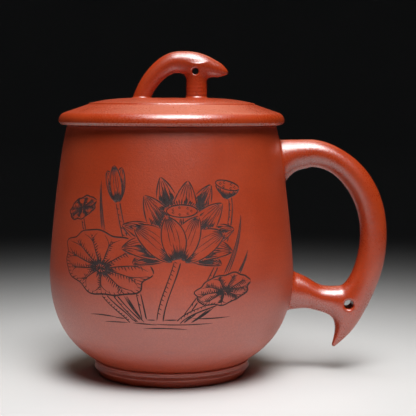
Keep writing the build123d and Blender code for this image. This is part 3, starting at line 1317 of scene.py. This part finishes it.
@dataclass
class FootRing:
    """The ring that the cup stands on: a waisted band over a ridge and a face that draws in."""

    height: float = 6.4
    radius: float = 32.9
    rest_radius: float = 30.6
    waist: Spot = (32.1, 4.8)
    ridge: Spot = (32.7, 3.2)
    width: float = 5.5
    softness: float = 0.6

    def outline(self) -> np.ndarray:
        """Draw the ring's outline from the middle of its top, outwards and round.

        Returns:
            The outline's points.
        """
        inner = self.rest_radius - self.width
        start = ((inner + self.radius) / 2, self.height, 0)
        corners = [
            start,
            (self.radius, self.height, self.softness),
            (*self.waist, self.softness * 2),
            (*self.ridge, self.softness),
            (self.rest_radius, 0.0, self.softness),
            (inner, 0.0, self.softness),
            (inner, self.height, self.softness),
            start,
        ]
        return densified(rounded(corners))

    def build(self, dress: Dress, turning: TurningTree) -> Object:
        """Turn the ring and set it on the cup."""
        obj = turning.turn("foot_ring_turned", self.outline(), dress.clay)
        return dress.piece(obj, Rider.CUP, "foot_ring")


@dataclass
class Handle:
    """The handle: a coil with a beaked head and an eye, tied to the body by a short bridge."""

    loop_middle: Spot = (58.0, 58.3)
    loop_reach: float = 26.82
    loop_fall: float = 34.4
    top_pull: float = 11.5
    side_pull: float = 22.2
    lower_radius: float = 51.0
    lower_turn: float = 21.0
    straight: float = 16.0
    hook_radius: float = 70.0
    hook_turn: float = 12.6
    top_width: float = 11.6
    bend_width: float = 10.6
    shoulder_width: float = 11.1
    arm_width: float = 11.2
    arm_thickness: float = 12.2
    head_width: float = 11.7
    head_thickness: float = 11.8
    beak_width: float = 9.2
    beak_thickness: float = 10.0
    tip_width: float = 1.7
    root: tuple[Section, ...] = ((40.0, 83.8, 30.0, 16.0), (43.4, 86.4, 24.0, 14.6), (50.7, 91.3, 14.2, 12.4))
    neck: tuple[Section, ...] = (
        (44.0, 35.9, 21.0, 15.0),
        (47.1, 35.4, 18.6, 14.0),
        (56.6, 33.9, 13.4, 11.7),
        (62.1, 31.8, 11.2, 11.2),
        (68.0, 30.65, 10.4, 10.0),
        (72.0, 30.0, 9.6, 8.4),
    )
    neck_softness: float = 3.5
    neck_blend: float = 15.0
    eye: Spot = (74.384, 29.508)
    eye_radius: float = 1.9
    eye_blend: float = 1.6
    root_gap: float = 0.06
    root_blend: float = 1.8
    root_collar: float = 2.0
    root_sink: float = 1.8
    root_edge: float = 1.4
    ball_pitch: float = 0.45
    low: Place = (40.0, -10.4, 8.0)
    high: Place = (92.0, 10.4, 102.0)
    pitch: float = 0.44

    def coil(self) -> Coil:
        """Lay the coil over the loop, down the arm and along the beak.

        Returns:
            The coil, evenly sampled.
        """
        x, z = self.loop_middle
        top, side = z + self.loop_fall, x + self.loop_reach
        loop = bezier([(x, top), (x + self.top_pull, top), (side, z + self.side_pull), (side, z)], 60)
        lower = arc_run(loop[-1], -90.0, self.lower_radius, -self.lower_turn, 20)
        heading = -90.0 - self.lower_turn
        ahead = np.array([math.cos(math.radians(heading)), math.sin(math.radians(heading))])
        run = lower[-1] + ahead * np.linspace(0.0, self.straight, 16)[:, None]
        hook = arc_run(run[-1], heading, self.hook_radius, -self.hook_turn, 20)
        line = np.concatenate([loop, lower[1:], run[1:], hook[1:]])
        stations = (
            (0, self.top_width, self.arm_thickness),
            (18, self.bend_width, self.arm_thickness - 0.8),
            (34, self.shoulder_width, self.arm_thickness - 0.4),
            (59, self.arm_width, self.arm_thickness - 0.2),
            (78, self.head_width, self.arm_thickness),
            (85, self.head_width - 0.3, self.head_thickness),
            (93, self.beak_width, self.beak_thickness),
            (101, 0.72 * self.beak_width, 0.70 * self.beak_thickness),
            (109, 1.85 * self.tip_width, 1.9 * self.tip_width),
            (112, self.tip_width, 1.2 * self.tip_width),
        )
        return Coil.rolled(line, stations, self.ball_pitch)

    def shape(self, body: CupBody) -> Field:
        """Join the coil, its root and the bridge, and pierce the eye.

        Args:
            body: The body that the handle grows from.

        Returns:
            The handle's field.
        """
        coil = self.coil()
        x, z = self.loop_middle
        root = Stub((*self.root, (x, z + self.loop_fall, self.top_width, self.arm_thickness)))
        neck = Stub(self.neck, self.neck_softness)

        def field_of(p: np.ndarray) -> np.ndarray:
            """Measure how far points lie outside the handle's skin.

            Args:
                p: Points, in millimetres.

            Returns:
                A distance for each point, negative inside.
            """
            form = np.minimum(coil.field(p), root.field(p))
            form = soft_union(form, neck.field(p), self.neck_blend)
            form = pierced(form, p, self.eye, self.eye_radius, self.eye_blend)
            wall = body.field(p)
            joined = soft_union(form, wall + self.root_gap, self.root_blend)
            joined = soft_cut(joined, form - self.root_collar, self.root_edge)
            return soft_cut(joined, -(wall + self.root_sink), self.root_edge)

        return field_of

    def build(self, dress: Dress, body: CupBody) -> Object:
        """Draw the handle's skin and set it on the cup.

        Args:
            dress: The shared materials.
            body: The body that it grows from.

        Returns:
            The finished piece.
        """
        skin = Skin(self.low, self.high, self.pitch)
        obj = solid_object("handle_coil", *skin.mesh(self.shape(body)), [dress.burnished])
        return dress.piece(obj, Rider.CUP, "handle_loop", "handle_bridge")


@dataclass
class LidTop:
    """The lid's plate and crown in one turned piece, with heights above the cup's rim."""

    rim_height: float = 104.6
    radius: float = 46.9
    edge_height: float = 4.12
    edge_round: float = 3.4
    lip: float = 1.1
    lip_round: float = 0.25
    heel_round: float = 0.3
    hollow: float = 4.6
    bore_radius: float = 35.9
    seat: float = 8.25
    crown_radius: float = 34.6
    crown_edge: float = 0.5
    crown_round: float = 0.7
    ledge: float = 0.3
    ledge_round: float = 0.12
    bend: Spot = (31.0, 9.5)
    bend_pull: Spot = (27.5, 10.28)
    top: float = 10.95
    top_pull: float = 21.5
    flat_radius: float = 15.7

    def outline(self) -> np.ndarray:
        """Draw the lid's outline from the crown's middle, over the edge and under to the axis.

        Returns:
            The outline's points.
        """
        flat = [(r, self.top) for r in np.linspace(0.0, self.flat_radius, 6)]
        fall = bezier([flat[-1], (self.top_pull, self.top), self.bend_pull, self.bend], 14)
        corners = [
            (*self.bend, 0),
            (self.crown_radius, self.seat + self.crown_edge, self.crown_round),
            (self.crown_radius, self.seat, self.ledge_round),
            (self.crown_radius + self.ledge, self.seat, self.ledge_round),
            (self.radius, self.edge_height, self.edge_round),
            (self.radius, self.lip, self.lip_round),
            (self.radius - self.lip, 0.0, self.heel_round),
            (self.bore_radius, 0.0, 0),
        ]
        edge = densified(rounded(corners, 8)[1:])
        turn = np.linspace(0.0, 1.0, 16)
        under = np.stack([self.bore_radius * (1 - turn), self.hollow * (1 - (1 - turn) ** 2)], 1)
        return np.concatenate([flat, fall[1:], edge, under[1:]]) + (0.0, self.rim_height)

    def build(self, dress: Dress, turning: TurningTree) -> Object:
        """Turn the lid and set it on its body."""
        obj = turning.turn("lid_top", self.outline(), dress.burnished)
        return dress.piece(obj, Rider.LID, "lid_plate", "lid_crown")


@dataclass
class LidFlange:
    """The ring under the lid that keeps it centred in the mouth."""

    top: float = 104.58
    radius: float = 39.1
    bore_radius: float = 35.9
    depth: float = 7.98
    softness: float = 0.9

    def outline(self) -> np.ndarray:
        """Draw the flange's outline from the middle of its top, outwards and round.

        Returns:
            The outline's points.
        """
        start = ((self.radius + self.bore_radius) / 2, self.top, 0)
        low = self.top - self.depth
        corners = [
            start,
            (self.radius, self.top, 0),
            (self.radius, low, self.softness),
            (self.bore_radius, low, self.softness),
            (self.bore_radius, self.top, 0),
            start,
        ]
        return densified(rounded(corners))

    def build(self, dress: Dress, turning: TurningTree) -> Object:
        """Turn the flange and set it on its body."""
        obj = turning.turn("lid_flange_turned", self.outline(), dress.clay)
        return dress.piece(obj, Rider.SEAT, "lid_flange")


@dataclass
class Knob:
    """The knob: an arched coil with a beaked head and an eye, on a short post."""

    crown: float = 115.55
    leg: Spot = (-13.5, 112.3)
    leg_pull: Spot = (-11.75, 121.2)
    arch_pull: float = 6.4
    arch_top: Spot = (2.5, 130.4)
    head_pull: float = 6.5
    tip_pull: Spot = (16.0, 128.2)
    tip: Spot = (22.9, 126.05)
    leg_width: float = 6.9
    leg_thickness: float = 7.4
    bend_width: float = 7.55
    bend_thickness: float = 8.0
    arch_width: float = 8.9
    arch_thickness: float = 8.6
    head_width: float = 9.74
    head_flatness: float = 0.96
    tip_width: float = 1.8
    post_x: float = 10.3
    post_radius: float = 4.3
    post_drop: float = 1.5
    post_blend: float = 3.6
    ridge: float = 0.09
    ridge_rate: float = 4.4
    ridge_start: float = 0.6
    ridge_reach: float = 9.0
    eye: Spot = (9.8, 126.6)
    eye_radius: float = 1.3
    eye_blend: float = 1.2
    seat_gap: float = 0.04
    seat_blend: float = 1.6
    seat_collar: float = 1.6
    seat_sink: float = 0.7
    ball_pitch: float = 0.3
    low: Place = (-19.0, -7.0, 114.6)
    high: Place = (25.5, 7.0, 136.6)
    pitch: float = 0.31

    def coil(self) -> Coil:
        """Lay the coil up the leg, over the arch and along the head.

        Returns:
            The coil, evenly sampled.
        """
        x, z = self.arch_top
        arch = bezier([self.leg, self.leg_pull, (x - self.arch_pull, z), self.arch_top], 41)
        head = bezier([self.arch_top, (x + self.head_pull, z), self.tip_pull, self.tip], 41)
        shares = ((54, 1.0), (62, 0.92), (69, 0.744), (75, 0.54))
        taper = [(mark, self.head_width * share) for mark, share in shares]
        stations = (
            (0, self.leg_width, self.leg_thickness),
            (20, self.bend_width, self.bend_thickness),
            (40, self.arch_width, self.arch_thickness),
            *[(mark, width, self.head_flatness * width) for mark, width in taper],
            (79, 1.5 * self.tip_width, 1.7 * self.tip_width),
            (80, self.tip_width, 1.2 * self.tip_width),
        )
        return Coil.rolled(np.concatenate([arch, head[1:]]), stations, self.ball_pitch)

    def shape(self) -> Field:
        """Join the coil and the post, pierce the eye and seat both legs on the crown.

        Returns:
            The knob's field.
        """
        coil = self.coil()

        def field_of(p: np.ndarray) -> np.ndarray:
            """Measure how far points lie outside the knob's skin.

            Args:
                p: Points, in millimetres.

            Returns:
                A distance for each point, negative inside.
            """
            height = p[:, 2] - self.crown
            fade = np.clip(1.0 - height / self.ridge_reach, 0.0, 1.0)
            ridges = self.ridge * np.sin(height * self.ridge_rate + self.ridge_start) * fade
            post = np.hypot(p[:, 0] - self.post_x, p[:, 1]) - self.post_radius - ridges
            post = np.maximum(post, p[:, 2] - (self.arch_top[1] - self.post_drop))
            form = soft_union(coil.field(p), post, self.post_blend)
            form = pierced(form, p, self.eye, self.eye_radius, self.eye_blend)
            joined = soft_union(form, height + self.seat_gap, self.seat_blend)
            joined = np.maximum(joined, form - self.seat_collar)
            return np.maximum(joined, -(height + self.seat_sink))

        return field_of

    def build(self, dress: Dress) -> Object:
        """Draw the knob's skin and set it on the lid.

        Args:
            dress: The shared materials.

        Returns:
            The finished piece.
        """
        skin = Skin(self.low, self.high, self.pitch)
        obj = solid_object("knob_coil", *skin.mesh(self.shape()), [dress.burnished])
        return dress.piece(obj, Rider.LID, "knob_arch", "knob_post")


@dataclass(frozen=True)
class Softbox:
    """A soft light with a grid, which keeps it on the cup and on the sheet round it.

    Its place, aim and size are in metres, its power is in watts and its spread in degrees.
    """

    name: str
    place: Place
    aim: Place
    size: Spot
    power: float
    spread: float
    colour: Colour = (1.0, 1.0, 1.0)

    def hang(self) -> None:
        """Hang the light at its place and face it to its aim."""
        data = bpy.data.lights.new(self.name, "AREA")
        data.shape = "ELLIPSE"
        data.size, data.size_y = self.size
        data.energy, data.color = self.power, self.colour
        data.spread = math.radians(self.spread)
        lamp = placed(self.name, data)
        lamp.location = self.place
        lamp.rotation_euler = (Vector(self.aim) - Vector(self.place)).to_track_quat("-Z", "Y").to_euler()


WARM = (1.0, 0.90, 0.68)
FRONT = Softbox("front_softbox", (0.08, -0.30, 0.61), (0.012, -0.06, 0.04), (0.52, 0.34), 0.67, 46.0)
OVERHEAD = Softbox("overhead_softbox", (0.04, -0.02, 0.56), (0.015, -0.04, 0.05), (0.44, 0.36), 0.20, 46.0)
BACK = Softbox("back_softbox", (0.06, 0.40, 0.50), (0.02, 0.0, 0.115), (0.60, 0.28), 0.044, 52.0, WARM)


@dataclass
class Studio:
    """The pale sheet, the soft lights and the camera.

    The sheet is measured in metres, and the camera's eye in millimetres.
    """

    softboxes: tuple[Softbox, ...] = (FRONT, OVERHEAD, BACK)
    room: float = 0.010
    room_colour: Colour = (0.9, 0.95, 1.0)
    lens: float = 100.0
    sensor: float = 36.0
    eye: Place = (15.2, -483.8, 113.1)
    pitch: float = 5.14
    roll: float = 0.16
    sweep: float = 2.6
    bend: float = 0.9
    rise: float = 1.6

    def floor(self, turning: TurningTree) -> None:
        """Turn a round sheet that curves up to a wall all round.

        Args:
            turning: The nodes that turn it.
        """
        angles = np.linspace(0.0, math.pi / 2, 14)
        curve = [(self.sweep + self.bend * math.sin(a), self.bend - self.bend * math.cos(a)) for a in angles]
        flat = [(0.0, 0.0), (0.3, 0.0), (0.8, 0.0)]
        outline = np.array([*flat, *curve, (self.sweep + self.bend, self.bend + self.rise)]) / MM
        sheet = turning.turn("pale_sheet", outline, PaperFinish().material(), 128)

    def light(self) -> None:
        """Light the cup from the front, from above and weakly from behind, in a dim room."""
        for softbox in self.softboxes:
            softbox.hang()
        world = bpy.data.worlds.new("dim_room")
        world.use_nodes = True
        background = world.node_tree.nodes["Background"]
        background.inputs["Color"].default_value = (*self.room_colour, 1.0)
        background.inputs["Strength"].default_value = self.room
        bpy.context.scene.world = world

    def camera(self) -> None:
        """Set the camera at the viewing angle that was measured for the cup."""
        data = bpy.data.cameras.new("view")
        data.lens, data.sensor_width, data.sensor_fit = self.lens, self.sensor, "HORIZONTAL"
        data.clip_start, data.clip_end = 0.01, 20.0
        camera = placed("view", data)
        tilt = Matrix.Rotation(math.radians(90.0 - self.pitch), 4, "X")
        roll = Matrix.Rotation(math.radians(self.roll), 4, "Z")
        camera.matrix_world = Matrix.Translation(Vector(self.eye) * MM) @ (tilt @ roll)
        bpy.context.scene.camera = camera

    def build(self, turning: TurningTree) -> None:
        """Set up the sheet, the lights, the camera and the plain view.

        Args:
            turning: The nodes that turn the sheet.
        """
        self.floor(turning)
        self.light()
        self.camera()
        bpy.context.scene.view_settings.view_transform = "Standard"


def main() -> None:
    """Build the pieces in order and report each one."""
    logging.basicConfig(level=logging.INFO, format="%(name)s: %(message)s")
    burnished = ClayFinish("red_clay_burnished", roughness=0.27)
    dress = Dress(ClayFinish().material(), burnished.material(), CutFinish().material())
    turning = TurningTree()
    body = CupBody()
    body.build(dress, Spray().draw())
    FootRing().build(dress, turning)
    Handle().build(dress, body)
    LidTop().build(dress, turning)
    LidFlange().build(dress, turning)
    Knob().build(dress)
    Studio().build(turning)


if __name__ == "__main__":
    main()
